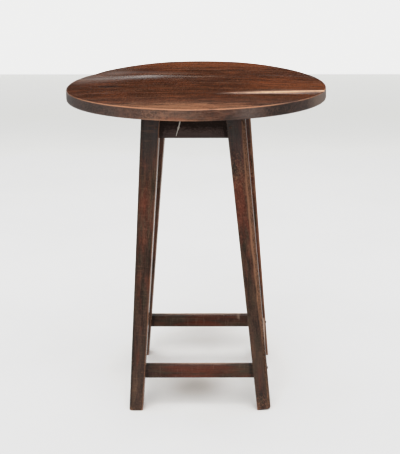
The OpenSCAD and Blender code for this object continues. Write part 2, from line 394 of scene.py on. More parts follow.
class Workpiece:
    """One piece of wood while it is shaped, from a block or a rod to its worn state."""

    sharp = 0.7
    along = 0.93
    across = 0.3
    least_along = 0.05
    least_across = 0.008

    def __init__(self, name: str) -> None:
        """Starts an empty piece that has this name when it is finished."""
        self.name = name
        self.bm = bmesh.new()

    @classmethod
    def block(cls, name: str, corner: Callable[[int, int, int], Vector]) -> "Workpiece":
        """Starts a piece from a block with eight given corners.

        Args:
            name: Name of the finished piece.
            corner: Gives the place of a corner from its three signs.

        Returns:
            The piece.
        """
        piece = cls(name)
        bmesh.ops.create_cube(piece.bm, size=2)
        for point in piece.bm.verts:
            point.co = corner(*(round(c) for c in point.co))
        return piece

    def rod(
        self, inner: Vector, outer: Vector, radii: Span, facets: int, spin: float = 0.0
    ) -> list[bmesh.types.BMVert]:
        """Adds a round rod or disc.

        Args:
            inner: Middle of its first end.
            outer: Middle of its other end.
            radii: Its radius at each end.
            facets: Number of sides.
            spin: How far it is turned about its own line.

        Returns:
            Its points.
        """
        run = outer - inner
        turn = Vector((0, 0, 1)).rotation_difference(run.normalized()).to_matrix().to_4x4()
        made = bmesh.ops.create_cone(
            self.bm,
            cap_ends=True,
            cap_tris=False,
            segments=facets,
            radius1=radii[0],
            radius2=radii[1],
            depth=run.length,
            matrix=Matrix.Translation((inner + outer) / 2) @ turn @ Matrix.Rotation(spin, 4, "Z"),
        )
        return made["verts"]

    @property
    def every(self) -> list[bmesh.types.BMVert | bmesh.types.BMEdge | bmesh.types.BMFace]:
        """All points, edges and faces."""
        return [*self.bm.verts, *self.bm.edges, *self.bm.faces]

    def edges(self, wanted: Callable[[Vector, Vector], bool]) -> list[bmesh.types.BMEdge]:
        """Picks edges by their two ends."""
        return [e for e in self.bm.edges if wanted(e.verts[0].co, e.verts[1].co)]

    def running(self, way: Vector) -> list[bmesh.types.BMEdge]:
        """Picks the long edges that run one way."""
        picked = self.edges(lambda a, b: abs((b - a).normalized().dot(way)) > self.along)
        return [e for e in picked if e.calc_length() > self.least_along]

    def crossing(self, way: Vector) -> list[bmesh.types.BMEdge]:
        """Picks the edges that run across a way, apart from the shortest ones."""
        picked = self.edges(lambda a, b: abs((b - a).normalized().dot(way)) < self.across)
        return [e for e in picked if e.calc_length() > self.least_across]

    def soften(self, edges: list[bmesh.types.BMEdge], width: float, segments: int) -> None:
        """Rounds edges, as far as the width on each face and in so many steps."""
        bmesh.ops.bevel(
            self.bm, geom=edges, offset=width, segments=segments, profile=0.5, affect="EDGES", material=-1
        )

    def pare(self, point: Vector, outward: Vector) -> None:
        """Cuts away what lies beyond a plane on its outward side, and closes the cut."""
        bmesh.ops.bisect_plane(
            self.bm, geom=self.every, dist=1e-7, plane_co=point, plane_no=outward, clear_outer=True
        )
        bmesh.ops.holes_fill(self.bm, edges=[e for e in self.bm.edges if e.is_boundary], sides=0)

    def rule(self, way: Vector, places: Iterable[float]) -> None:
        """Adds a line of points round the piece at each plane square to the way, so far from the origin."""
        for place in places:
            bmesh.ops.bisect_plane(self.bm, geom=self.every, dist=1e-6, plane_co=way * place, plane_no=way)

    def divide(self, edges: list[bmesh.types.BMEdge], step: float) -> None:
        """Divides edges into as many equal lengths as bring the longest of them near the step."""
        cuts = max(1, round(max(e.calc_length() for e in edges) / step) - 1)
        bmesh.ops.subdivide_edges(self.bm, edges=edges, cuts=cuts, use_grid_fill=True)

    def move(self, shift: Shift) -> None:
        """Moves every point by an amount that depends on its place and its normal.

        Args:
            shift: Gives the movement.
        """
        self.bm.normal_update()
        steps = [(point, shift(point.co, point.normal)) for point in self.bm.verts]
        for point, step in steps:
            point.co += step

    def paint(self, **layers: Amount) -> None:
        """Stores amounts for the finish on every point.

        Args:
            layers: For each layer that the finish reads, gives the amount from a point's place and normal.
        """
        self.bm.normal_update()
        for name, amount in layers.items():
            layer = self.bm.verts.layers.float.new(name)
            for point in self.bm.verts:
                point[layer] = amount(point.co, point.normal)

    def stand(self, material: bpy.types.Material, slot: str, *nodes: str) -> None:
        """Puts the finished piece in the scene, in the place of its solid.

        Args:
            material: Its finish.
            slot: Not used.
            nodes: The solids that it stands for.
        """
        bmesh.ops.recalc_face_normals(self.bm, faces=self.bm.faces)
        for edge in self.bm.edges:
            edge.smooth = edge.calc_face_angle(0.0) < self.sharp
        for face in self.bm.faces:
            face.smooth = True
        mesh = bpy.data.meshes.new(self.name)
        self.bm.to_mesh(mesh)
        self.bm.free()
        mesh.materials.append(material)
        piece = bpy.data.objects.new(self.name, mesh)
        even = piece.modifiers.new("even_faces", "WEIGHTED_NORMAL")
        even.keep_sharp = True
        even.weight = 80
        bpy.context.scene.collection.objects.link(piece)
        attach(piece, "root")
        if nodes:
            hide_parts(*nodes)
        log.info("%s: %d faces", self.name, len(mesh.polygons))


def hand_planed(seed: float, along: Vector, depth: float = 0.00015) -> Shift:
    """Makes the slight hollows that a hand plane and long use leave on a face.

    Args:
        seed: Moves the pattern.
        along: The way that the plane ran.
        depth: The deepest hollow.

    Returns:
        The movement of a point, always into the wood.
    """

    def shift(place: Vector, normal: Vector) -> Vector:
        """Moves one point into the wood."""
        spread = place * 34 - along * (place.dot(along) * 24) + Vector((seed, seed * 2, seed * 3))
        wave = 0.5 + 0.5 * noise.noise(spread)
        ripple = 0.5 + 0.5 * noise.noise(spread * 3.7)
        return -normal * depth * (0.7 * wave + 0.3 * ripple)

    return shift


# Sizes


@dataclass(frozen=True)
class Bar:
    """A rail or a stretcher: its underside, upper edge, thickness and set-back."""

    low: float
    high: float
    thickness: float
    set_back: float


@dataclass(frozen=True)
class Stance:
    """Where the four legs and the bars between them stand, as in the solids."""

    underside: float = 0.677
    seat: float = 0.0006
    width_top: float = 0.0395
    width_foot: float = 0.0295
    depth_top: float = 0.1095
    depth_foot: float = 0.1585
    front_left: Span = (0.153, 0.109)
    front_right: Span = (0.159, 0.101)
    back_left: Span = (0.165, 0.107)
    back_right: Span = (0.158, 0.110)

    def between(self, foot: float, top: float, z: float) -> float:
        """Reads a size that changes evenly from the foot to the top of a leg."""
        return foot + (top - foot) * z / self.underside

    def width(self, z: float) -> float:
        """Width of a leg at a height."""
        return self.between(self.width_foot, self.width_top, z)

    def outer_y(self, z: float) -> float:
        """Distance from the centre line to the legs' front or back faces."""
        return self.between(self.depth_foot, self.depth_top, z)

    def inner_y(self, z: float) -> float:
        """Distance from the centre line to the legs' faces behind those."""
        return self.outer_y(z) - self.width(z)

    def outer_x(self, side: Side, end: End, z: float) -> float:
        """Distance from the centre line to one leg's outer side face.

        Args:
            side: Left or right.
            end: Front or back.
            z: Height.

        Returns:
            The distance.
        """
        if end is End.FRONT:
            foot, top = self.front_left if side is Side.LEFT else self.front_right
        else:
            foot, top = self.back_left if side is Side.LEFT else self.back_right
        return self.between(foot, top, z)

    def inner_x(self, side: Side, end: End, z: float) -> float:
        """Distance from the centre line to one leg's inner side face."""
        return self.outer_x(side, end, z) - self.width(z)

    def face_y(self, bar: Bar) -> float:
        """Distance from the centre line to the outer face of a front or back bar."""
        return self.outer_y(bar.high) - bar.set_back

    def face_x(self, side: Side, bar: Bar, y: float) -> float:
        """Distance from the centre line to the outer face of a side bar.

        Args:
            side: Left or right.
            bar: The bar.
            y: Where along it.

        Returns:
            The distance.
        """
        span = self.outer_y(bar.high)
        front, back = (self.outer_x(side, end, bar.high) - bar.set_back for end in End)
        return front + (back - front) * (y + span) / (2 * span)


# Top


@dataclass(frozen=True)
class RoundTop:
    """Three boards edge to edge, cut to a disc that has warped and worn."""

    finish: OakFinish
    radius: float = 0.2769
    height: float = 0.7
    thickness: float = 0.023
    front_joint: float = -0.106
    back_joint: float = 0.094
    joint_gap: float = 0.00003
    upper_round: float = 0.0025
    lower_round: float = 0.0018
    droop_left: float = 0.0066
    droop_right: float = 0.0057
    droop_back: float = 1.26
    flat_half: float = 0.075
    split_y: float = -0.129
    split_slope: float = 0.25
    hollow_y: float = 0.097
    hollow_slope: float = -0.16
    hollow_depth: float = 0.0052
    ripple: float = 0.0003
    nick: float = 0.0003
    facets: int = 288
    step: float = 0.005

    @property
    def low(self) -> float:
        """Height of the underside."""
        return self.height - self.thickness

    def from_rim(self, x: float, y: float) -> float:
        """How far inside the rim a place lies."""
        return self.radius - math.hypot(x, y)

    def ahead(self, x: float, y: float) -> float:
        """How far a place lies in front of the split, or behind it when negative."""
        return self.split_y + self.split_slope * x - y

    def droop(self, x: float, y: float) -> float:
        """How far the ends of the boards have sunk, a little more towards the back."""
        beyond = max(0.0, abs(x) - self.flat_half) / (self.radius - self.flat_half)
        return (self.droop_left if x < 0 else self.droop_right) * beyond**1.5 * (1 + self.droop_back * y)

    def split(self, x: float, y: float) -> float:
        """How deep the upper face lies in front of the split at the right.

        Args:
            x: Place along the boards.
            y: Place across them.

        Returns:
            The depth.
        """
        ahead = self.ahead(x, y)
        reach = blend(0.02, 0.13, x)
        width = 0.022 + 0.028 * blend(0.1, 0.27, x)
        depth = (0.0018 + 0.0014 * blend(0.06, 0.16, x) - 0.0010 * blend(0.19, 0.23, x)) * reach
        if ahead < 0:
            return depth * max(0.0, 1 + ahead / 0.0012)
        return depth * max(0.0, 1 - ahead / width) ** 1.5

    def hollow(self, x: float, y: float) -> float:
        """How deep the upper face lies along the back joint at the left.

        Args:
            x: Place along the boards.
            y: Place across them.

        Returns:
            The depth.
        """
        ahead = self.hollow_y + self.hollow_slope * x - y
        reach = 1 - blend(-0.29, 0.14, x)
        depth = self.hollow_depth * reach * (0.25 + 0.75 * blend(0.0, 0.05, self.from_rim(x, y)))
        if ahead < 0:
            return depth * (1 - blend(0.0, 0.045, -ahead))
        return depth * max(0.0, 1 - ahead / 0.08) ** 1.4

    def settle(self, place: Vector, normal: Vector) -> Vector:
        """Moves a point of the flat disc to its place on the warped one.

        Args:
            place: The point.
            normal: Its normal.

        Returns:
            The movement.
        """
        x, y, z = place
        share = (z - self.low) / self.thickness
        wave = self.ripple * (0.5 + 0.5 * noise.noise(Vector((x * 7, y * 22, 3.0))))
        sunk = self.droop(x, y) + share * (self.split(x, y) + self.hollow(x, y) + wave)
        nick = self.nick * (0.5 + 0.5 * noise.noise(place * 55)) * near(self.from_rim(x, y), 0.006)
        return Vector((-x * nick / self.radius, -y * nick / self.radius, -sunk))

    def wear(self, place: Vector, normal: Vector) -> float:
        """Worn wood on the two arrises of the rim and where hands lie at the front, and a worn lip with a
        painted sheen just behind the split.

        Args:
            place: The point.
            normal: Its normal.

        Returns:
            The amount.
        """
        x, y, z = place
        upper = near(math.hypot(self.from_rim(x, y) - 0.0007, self.height - z - 0.0007), 0.0015)
        lower = near(math.hypot(self.from_rim(x, y), self.low - z), 0.0042) * near(x + 0.04, 0.11)
        front = blend(0.05, -0.25, y)
        whole = 1 - 0.7 * near(x - 0.037, 0.018) - 0.6 * near(x - 0.19, 0.02)
        hands = 0.72 * blend(-0.14, -0.25, y) * near(x + 0.03, 0.24)
        # a worn lip with a painted sheen just behind the split
        worn_lip_and_sheen = 0.45 * blend(0.05, 0.14, x) * near(self.ahead(x, y) + 0.01, 0.014)
        return upper * whole * (0.32 + 0.6 * front) + lower * 0.8 * front + facing_up(normal) * (hands + worn_lip_and_sheen)

    def warmth(self, place: Vector, normal: Vector) -> float:
        """Redder wood towards the front and back of the upper face and low on the rim.

        Args:
            place: The point.
            normal: Its normal.

        Returns:
            The amount.
        """
        x, y, z = place
        if normal.z < 0.5:
            return 1.1 * near(z - self.low - 0.002, 0.005) * near(x + 0.035, 0.045) - 0.25
        front = blend(-0.13, -0.25, y) * near(x + 0.01, 0.17)
        back = blend(0.13, 0.24, y) * near(x - 0.03, 0.19)
        right = blend(0.05, 0.16, x) * near(y + 0.02, 0.07)
        return 0.35 * front + 0.7 * back + 0.5 * right

    def grime(self, place: Vector, normal: Vector) -> float:
        """Old stains on the upper face, painted shade in the crevice just in front of the split, and the
        soiling of the underside and the rim.

        Args:
            place: The point.
            normal: Its normal.

        Returns:
            The amount.
        """
        x, y, _ = place
        if normal.z < -0.5:
            return 0.42
        smudge = 0.7 * near(math.hypot((x + 0.183) / 3, y + 0.032), 0.011)
        dots = near(math.hypot(x - 0.038, y + 0.152), 0.008) + near(math.hypot(x - 0.052, y + 0.128), 0.008)
        # painted shade in the crevice at the foot of the split's step
        crevice_shade = 0.55 * blend(0.19, 0.215, x) * near(self.ahead(x, y) - 0.006, 0.004)
        rim = 0.3 + 0.25 * blend(0.12, 0.2, abs(x)) + 0.2 * near(x - 0.17, 0.03)
        return smudge + 0.4 * dots + crevice_shade + steep(normal) * rim

    def dust(self, place: Vector, normal: Vector) -> float:
        """Greyer wood at the ends of the rim and along its front, and a pale haze in the wax with a painted
        sheen over the hollow at the left.

        Args:
            place: The point.
            normal: Its normal.

        Returns:
            The amount.
        """
        x, y, _ = place
        rim = 0.42 * blend(0.1, 0.2, abs(x)) + 0.9 * near(x - 0.113, 0.03) * blend(0.0, -0.2, y)
        # pale haze with a painted sheen over the hollow at the left
        bloom_and_sheen = 0.36 * blend(-0.12, -0.2, x) * blend(-0.01, 0.06, y)
        front = 0.3 * blend(-0.13, -0.22, y) * max(normal.z, blend(0.04, -0.02, x))
        return steep(normal) * rim + facing_up(normal) * bloom_and_sheen + front

    def dry(self, place: Vector, normal: Vector) -> float:
        """Dry wood underneath, on the rim, and where the wax has gone dull at the left.

        Args:
            place: The point.
            normal: Its normal.

        Returns:
            The amount.
        """
        if normal.z < -0.5:
            return 1.0
        rim = 0.35 + 0.65 * blend(0.1, 0.2, abs(place.x))
        dull = 0.42 * blend(-0.1, -0.22, place.x) * near(place.y - 0.1, 0.06)
        return steep(normal) * rim + facing_up(normal) * dull

    def chips(self, place: Vector, normal: Vector) -> float:
        """Chipped wax on the front of the rim."""
        often = 0.26 + 0.2 * near(place.x + 0.075, 0.04) + 0.12 * near(place.x, 0.07)
        return steep(normal) * blend(0.0, -0.14, place.y) * often

    def bare(self, place: Vector, normal: Vector) -> float:
        """Raw wood on the split's broken face and at the right end of the rim, a painted sheen just behind
        the split, a pale haze and painted sheen lines in the wax at the left, and painted highlights as pale
        specks on the front of the rim.

        Args:
            place: The point.
            normal: Its normal.

        Returns:
            The amount.
        """
        x, y, _ = place
        # pale haze in the wax with a painted sheen at the left
        bloom_and_sheen = 0.02 * blend(-0.13, -0.2, x) * blend(-0.01, 0.06, y)
        # painted sheen lines in the wax
        lines = 0.1 * near(y - 0.119, 0.006) * near(x + 0.06, 0.06)
        lines += 0.13 * near(y - 0.08, 0.007) * near(x + 0.03, 0.08)
        ahead = self.ahead(x, y)
        # raw wood on the split's broken face
        torn_and_sheen = near(ahead + 0.0006, 0.0014) * (0.28 * blend(0.035, 0.09, x) + 0.5 * blend(0.07, 0.16, x))
        # a painted sheen just behind the split
        torn_and_sheen += 0.16 * near(ahead + 0.003, 0.015) * near(x - 0.155, 0.06)
        # raw wood at the right end of the rim, and painted highlights as pale specks along its front
        rim = 0.12 * blend(0.225, 0.255, x) + 0.03 * blend(0.0, -0.2, y) * near(x + 0.03, 0.08)
        return facing_up(normal) * (torn_and_sheen + bloom_and_sheen + lines) + steep(normal) * rim

    def board(
        self, node: str, low_y: float | None, high_y: float | None, fibres: Vector, heart: Vector
    ) -> None:
        """Makes one board.

        Args:
            node: The solid that it stands for.
            low_y: Its front edge, where a joint makes it.
            high_y: Its back edge, where a joint makes it.
            fibres: The way that its fibres run.
            heart: A point on the heart of its tree.
        """
        piece = Workpiece(f"{node}_worn")
        lower, upper = Vector((0, 0, self.low)), Vector((0, 0, self.height))
        piece.rod(lower, upper, (self.radius, self.radius), self.facets)
        top, bottom = self.height - 1e-5, self.low + 1e-5
        piece.soften(piece.edges(lambda a, b: min(a.z, b.z) > top), self.upper_round, 4)
        cap = [f for f in piece.bm.faces if f.calc_center_median().z > top]
        bmesh.ops.inset_region(piece.bm, faces=cap, thickness=0.0015)
        piece.soften(piece.edges(lambda a, b: max(a.z, b.z) < bottom), self.lower_round, 3)
        across, along = Way.DEEP.line, Way.ACROSS.line
        if low_y is not None:
            piece.pare(across * (low_y + self.joint_gap), -across)
        if high_y is not None:
            piece.pare(across * (high_y - self.joint_gap), across)
        start = -self.radius if low_y is None else low_y
        end = self.radius if high_y is None else high_y
        for way, first, last in ((across, start, end), (along, -self.radius, self.radius)):
            count = round((last - first) / self.step)
            piece.rule(way, [first + (last - first) * i / count for i in range(1, count)])
        if low_y is None or low_y < 0:
            square = Vector((-self.split_slope, 1, 0)).normalized()
            places = (-0.0025, -0.001, 0, 0.0004, 0.0008, 0.0012, 0.0025)
            piece.rule(square, [(self.split_y + place) * square.y for place in places])
        piece.rule(Vector((0, 0, 1)), [self.low + up for up in (0.006, 0.011, 0.016)])
        piece.paint(wear=self.wear, warmth=self.warmth, grime=self.grime, chips=self.chips)
        piece.paint(dry=self.dry, dust=self.dust, bare=self.bare)
        piece.move(self.settle)
        piece.stand(self.finish.material(f"{node}_oak", fibres, heart, 1.0 + len(node)), "top_wood", node)

    def build(self) -> None:
        """Makes the three boards and dresses the dowels between them."""
        joints = (None, self.front_joint, self.back_joint, None)
        boards = (
            ("top_board_front", (1, 0.012, 0.010), (0, -0.235, 0.62)),
            ("top_board_middle", (1, -0.016, 0.014), (0, 0.035, 0.61)),
            ("top_board_back", (1, -0.02, -0.012), (0, 0.25, 0.63)),
        )
        for (node, fibres, heart), low_y, high_y in zip(boards, joints, joints[1:]):
            self.board(node, low_y, high_y, Vector(fibres), Vector(heart))
        dress("board_dowels", self.finish.material("dowel_oak", Way.DEEP.line, Vector(), 9.0))


def dress(node: str, material: bpy.types.Material) -> None:
    """Gives a solid that stays a better finish.

    Args:
        node: The solid.
        material: Its finish.
    """
    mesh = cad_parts[node].data
    mesh.materials.clear()
    mesh.materials.append(material)


# Legs


@dataclass(frozen=True)
class Leg:
    """One tapered leg, splayed both ways, with a flat worn along its outer corner."""

    stance: Stance
    finish: OakFinish
    side: Side
    end: End
    flat_top: float = 0.004
    flat_foot: float = 0.004
    arris: float = 0.0009
    foot_wear: float = 0.0018
    worn_corner: float = 0.0
    redness: Level = lambda z: 0.0
    scuffed: Level = lambda z: 0.0
    rubbed: float = 0.0
    rubbed_arris: float = 0.0
    matt: float = 0.06
    seed: float = 0.0

    @property
    def node(self) -> str:
        """Name of the leg's solid."""
        return f"leg_{self.end.name.lower()}_{self.side.name.lower()}"

    def centre(self, z: float) -> Vector:
        """Finds the middle of the leg at a height.

        Args:
            z: The height.

        Returns:
            The middle.
        """
        half = self.stance.width(z) / 2
        x = self.stance.outer_x(self.side, self.end, z) - half
        y = self.stance.outer_y(z) - half
        return Vector((self.side.value * x, self.end.value * y, z))

    def corner(self, sx: int, sy: int, sz: int) -> Vector:
        """Finds a corner of the blank from its signs.

        Args:
            sx: Left or right.
            sy: Front or back.
            sz: Foot or top.

        Returns:
            Its place.
        """
        z = 0.0 if sz < 0 else self.stance.underside
        half = self.stance.width(z) / 2
        return self.centre(z) + Vector((sx * half, sy * half, -self.stance.seat if sz > 0 else 0))

    def inside(self, place: Vector) -> Span:
        """Measures how far a place lies inside the leg's outer faces.

        Args:
            place: The place.

        Returns:
            The distances from the side face and from the front or back face.
        """
        half = self.stance.width(place.z) / 2
        off = place - self.centre(place.z)
        return half - off.x * self.side.value, half - off.y * self.end.value

    def flat(self, z: float) -> float:
        """Reach of the worn flat on either face at a height."""
        return self.stance.between(self.flat_foot, self.flat_top, z)

    def wear(self, place: Vector, normal: Vector) -> float:
        """Worn arrises and foot, and a lighter right-hand face that is partly worn wood and partly a painted
        warm reflection.

        Args:
            place: The point.
            normal: Its normal.

        Returns:
            The amount.
        """
        out_x, out_y = self.inside(place)
        wide = self.stance.width(place.z)
        flat = self.flat(place.z)
        arrises = ((flat, 0), (0, flat), (wide, 0), (0, wide), (wide, wide))
        nearest = min(math.hypot(out_x - x, out_y - y) for x, y in arrises)
        foot = near(place.z, 0.006) * near(min(out_x, wide - out_x) + min(out_y, wide - out_y), 0.02)
        handled = self.rubbed_arris * near(out_x - flat - 0.002, 0.005) * near(place.z - 0.42, 0.2)
        # the right-hand face: worn wood and a painted warm reflection
        return 0.5 * near(nearest, 0.0024) + 0.6 * foot + handled + 0.8 * facing_right(normal) + self.rubbed

    def grime(self, place: Vector, normal: Vector) -> float:
        """Painted shade high up under the top and on the outer flat, a darker band at the height of the
        stretchers, and a little darker all over.

        Args:
            place: The point.
            normal: Its normal.

        Returns:
            The amount.
        """
        # painted shade just under the top, where the top's shade falls
        under = 0.45 * blend(0.61, 0.672, place.z)
        # a darker band at the height of the stretchers
        low = 0.18 * near(place.z - 0.12, 0.05)
        # the last term is painted shade on the outer flat, which faces away from the light
        return 0.08 + under + low + 0.4 * near(sum(self.inside(place)) - self.flat(place.z), 0.0016)

    def dust(self, place: Vector, normal: Vector) -> float:
        """Greyer wood towards the top and the foot."""
        return 0.9 * blend(0.50, 0.63, place.z) + 0.28 * blend(0.28, 0.05, place.z)

    def dry(self, place: Vector, normal: Vector) -> float:
        """Dull wood under the foot and, towards the top, on the right-hand face."""
        right = facing_right(normal) * (self.matt + 0.3 * blend(0.5, 0.6, place.z))
        return 1.0 if normal.z < -0.5 else right

    def round_foot(self, place: Vector, normal: Vector) -> Vector:
        """Rounds the edges of the foot, most at its worn corner.

        Args:
            place: The point.
            normal: Its normal.

        Returns:
            The movement.
        """
        reach = self.foot_wear + near(math.hypot(*self.inside(place)), 0.02) * self.worn_corner
        if place.z >= reach:
            return Vector()
        bite = reach - math.sqrt(max(0.0, reach**2 - (reach - place.z) ** 2))
        inward = self.centre(place.z) - place
        inward.z = 0
        return inward * min(0.6, 2 * bite / self.stance.width(0))

    def outer_flat(self) -> tuple[Vector, Vector]:
        """Finds the plane of the flat along the outer corner.

        Returns:
            A point of the plane and the way that it faces.
        """
        sx, sy = self.side.value, self.end.value
        top = self.corner(sx, sy, 1) - Vector((sx * self.flat_top, 0, 0))
        foot = self.corner(sx, sy, -1) - Vector((sx * self.flat_foot, 0, 0))
        facing = (top - foot).cross(Vector((sy, -sx, 0))).normalized()
        return foot, facing if facing.dot(Vector((sx, sy, 0))) > 0 else -facing

    def build(self) -> None:
        """Makes the leg."""
        piece = Workpiece.block(f"{self.node}_worn", self.corner)
        piece.pare(*self.outer_flat())
        fibres = (self.centre(self.stance.underside) - self.centre(0)).normalized()
        piece.soften(piece.running(fibres), self.arris, 2)
        piece.divide(piece.running(fibres), 0.006)
        piece.divide(piece.crossing(fibres), 0.005)
        piece.rule(Vector((0, 0, 1)), [0.0005, 0.0012, 0.0022, 0.0035, 0.005, 0.0075])
        piece.paint(wear=self.wear, warmth=lambda place, normal: self.redness(place.z), grime=self.grime)
        piece.paint(chips=lambda place, normal: self.scuffed(place.z), dry=self.dry, dust=self.dust)
        piece.move(hand_planed(self.seed, fibres))
        piece.move(self.round_foot)
        angle = 2.4 * self.seed
        heart = self.centre(0.3) + Vector((0.035 * math.cos(angle), 0.05 * math.sin(angle), 0))
        material = self.finish.material(f"{self.node}_oak", fibres, heart, 11 + self.seed)
        piece.stand(material, "leg_wood", self.node)


# Bars


@dataclass(frozen=True)
class LevelBar:
    """A rail or a stretcher between two legs."""

    stance: Stance
    finish: OakFinish
    bar: Bar
    name: str
    slot: str
    place: Side | End
    broken: float = 0.0006
    play: float = 0.0001
    rubbed: float = 0.0
    shade_under_top: float = 0.0
    warm_middle: float = 0.0
    dusty: float = 0.0
    polished: float = 0.0
    bleached: float = 0.0
    chip: float | None = None
    seed: float = 0.0

    @property
    def node(self) -> str:
        """Name of the bar's solid."""
        return f"{self.name}_{self.place.name.lower()}"

    def corner(self, sx: int, sy: int, sz: int) -> Vector:
        """Finds a corner of the bar's body from its signs.

        Args:
            sx: Left or right.
            sy: Front or back.
            sz: Below or above.

        Returns:
            Its place.
        """
        stance, bar = self.stance, self.bar
        z = bar.low if sz < 0 else min(bar.high, stance.underside - stance.seat)
        if isinstance(self.place, End):
            depth = stance.face_y(bar) - (0 if sy == self.place.value else bar.thickness)
            x = stance.inner_x(Side(sx), self.place, z) - self.play
            return Vector((sx * x, self.place.value * depth, z))
        y = sy * (stance.inner_y(z) - self.play)
        depth = stance.face_x(self.place, bar, y) - (0 if sx == self.place.value else bar.thickness)
        return Vector((self.place.value * depth, y, z))

    def from_back(self, place: Vector) -> float:
        """Measures how far a place lies from the bar's rear or outer upper arris.

        Args:
            place: The place.

        Returns:
            The distance in front of the rear arris, or from the outer one of a side bar.
        """
        if isinstance(self.place, Side):
            return abs(self.stance.face_x(self.place, self.bar, place.y) - abs(place.x))
        outer = self.stance.face_y(self.bar)
        return (outer if self.place is End.BACK else self.bar.thickness - outer) - place.y

    def from_shoulder(self, place: Vector) -> float:
        """Measures how far a place lies from the nearer leg.

        Args:
            place: The place.

        Returns:
            The distance.
        """
        if isinstance(self.place, Side):
            return self.stance.inner_y(place.z) - abs(place.y)
        side = Side.RIGHT if place.x > 0 else Side.LEFT
        return self.stance.inner_x(side, self.place, place.z) - abs(place.x)

    def wear(self, place: Vector, normal: Vector) -> float:
        """Worn wood with a painted highlight along the upper rear arris, and a little worn wood on the lower
        arrises and at the shoulders.

        Args:
            place: The point.
            normal: Its normal.

        Returns:
            The amount.
        """
        shoulder = self.from_shoulder(place)
        # worn wood with a painted highlight along the upper rear arris
        upper = near(self.bar.high - place.z, 0.003) * near(self.from_back(place), 0.009) * self.rubbed
        lower = 0.25 * near(place.z - self.bar.low, 0.0025)
        return upper * (0.5 + 0.5 * blend(0.02, 0.1, shoulder)) + lower + 0.4 * near(shoulder, 0.0015)

    def grime(self, place: Vector, normal: Vector) -> float:
        """Painted shade on a rail's upper part under the top and in the corners by the legs, a dark joint
        line at the shoulders, and an upper face a little darker away from its rear arris.

        Args:
            place: The point.
            normal: Its normal.

        Returns:
            The amount.
        """
        shoulder = self.from_shoulder(place)
        # painted shade: a rail grows darker towards the underside of the top, where the top's shade falls
        high = self.shade_under_top * blend(self.bar.high - 0.075, self.bar.high - 0.025, place.z)
        # painted shade in the corner by each leg, and a dark joint line just off the shoulder
        ends = 0.2 * near(shoulder, 0.02) + 0.5 * near(shoulder - 0.004, 0.0025)
        # a little darker all over, and on the upper face away from its rear arris
        return high + 0.1 + ends + 0.1 * facing_up(normal) * blend(0.004, 0.012, self.from_back(place))

    def bare(self, place: Vector, normal: Vector) -> float:
        """Pale worn-through wood on the upper face, and where a chip has come off.

        Args:
            place: The point.
            normal: Its normal.

        Returns:
            The amount.
        """
        face = self.bleached * facing_up(normal)
        if self.chip is None:
            return face
        off = math.hypot(place.x - self.chip, (self.bar.high - 0.003 - place.z) / 1.6)
        return face + 0.4 * near(off, 0.0026)

    def warmth(self, place: Vector, normal: Vector) -> float:
        """Redder wood in the middle of the bar."""
        return self.warm_middle * near(place.y if isinstance(self.place, Side) else place.x, 0.07)

    def dust(self, place: Vector, normal: Vector) -> float:
        """Greyer wood on the lower part."""
        return self.dusty * blend(self.bar.high - 0.04, self.bar.high - 0.06, place.z)

    def dry(self, place: Vector, normal: Vector) -> float:
        """Less dull on a right-hand face that is polished."""
        return -self.polished * facing_right(normal)

    def build(self) -> None:
        """Makes the bar."""
        piece = Workpiece.block(f"{self.node}_worn", self.corner)
        way = (Way.ACROSS if isinstance(self.place, End) else Way.DEEP).line
        piece.soften(piece.running(way), self.broken, 3)
        piece.divide(piece.running(way), 0.005)
        piece.divide(piece.crossing(way), 0.005)
        piece.paint(wear=self.wear, warmth=self.warmth, grime=self.grime)
        piece.paint(dust=self.dust, dry=self.dry, bare=self.bare)
        piece.move(hand_planed(self.seed, way))
        centre = sum((point.co for point in piece.bm.verts), Vector()) / len(piece.bm.verts)
        slant = way + Vector((0.01, 0.01, 0.012 * math.sin(self.seed)))
        heart = centre + Vector((0.03, 0.03, 0.06 * math.cos(1 + self.seed)))
        material = self.finish.material(f"{self.node}_oak", slant, heart, 31 + self.seed)
        piece.stand(material, self.slot, self.node)


# Small pieces


